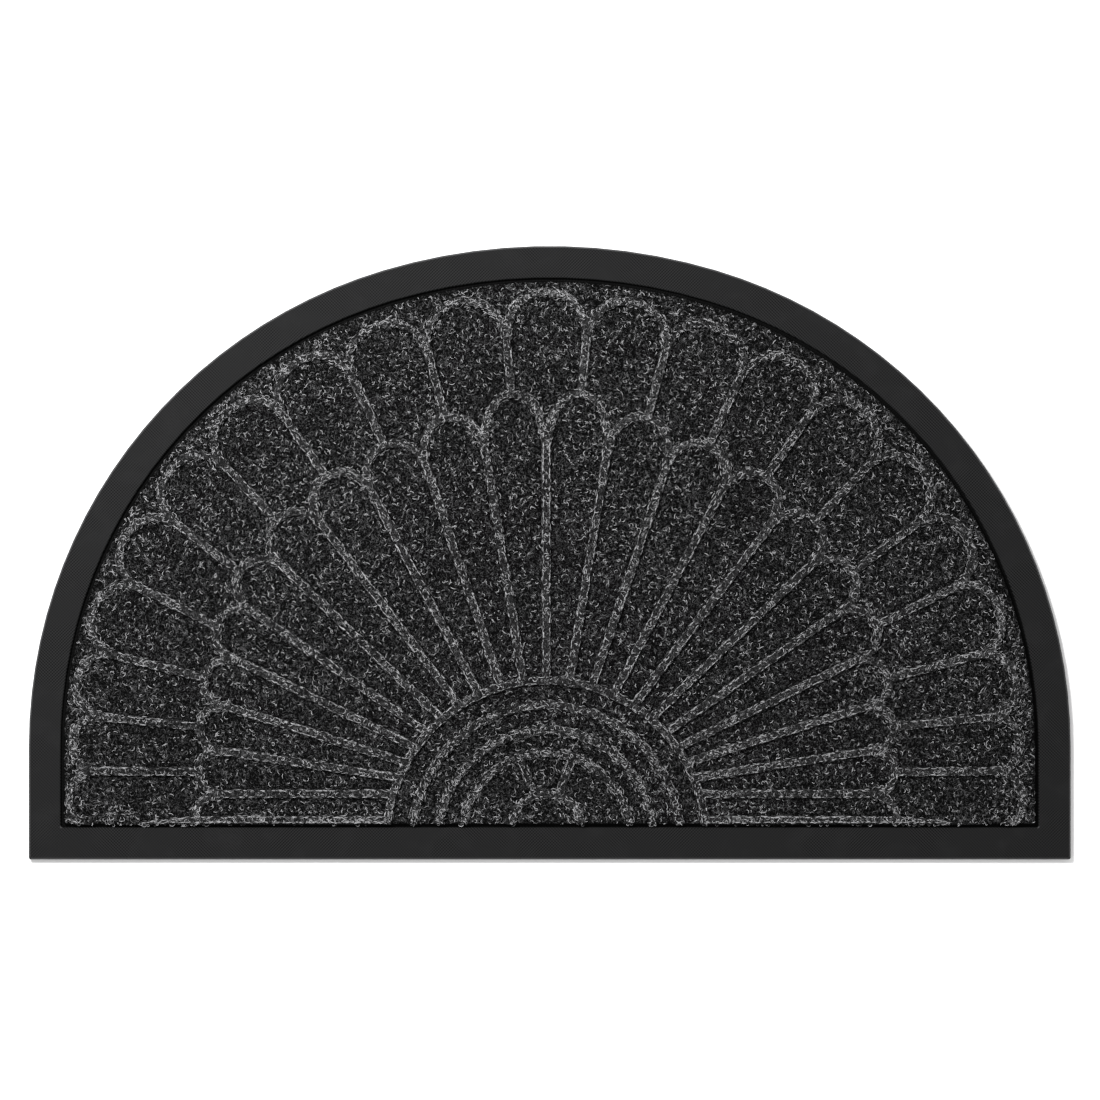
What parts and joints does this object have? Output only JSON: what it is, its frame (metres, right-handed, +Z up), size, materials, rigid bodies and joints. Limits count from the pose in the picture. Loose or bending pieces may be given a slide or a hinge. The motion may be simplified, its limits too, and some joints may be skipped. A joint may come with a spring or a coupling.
{
  "type": "half round doormat",
  "caption": "Half round indoor-outdoor doormat: ribbed dark carpet with a raised fan of petals, set in a black rubber tray with a flat border.",
  "frame": {"origin": "on the underside, below the middle of the mat's box", "axes": "+X along the straight edge, +Y from the straight edge towards the arch, +Z up out of the carpet's face"},
  "size_m": [0.76, 0.4473, 0.0078],
  "materials": {
    "black_rubber": "matte, with a fine diagonal grain",
    "charcoal_fibre": "needle-punched charcoal and grey fibres"
  },
  "bodies": {
    "root": {"rubber_tray": "black_rubber", "carpet": "charcoal_fibre"}
  },
  "joints": []
}
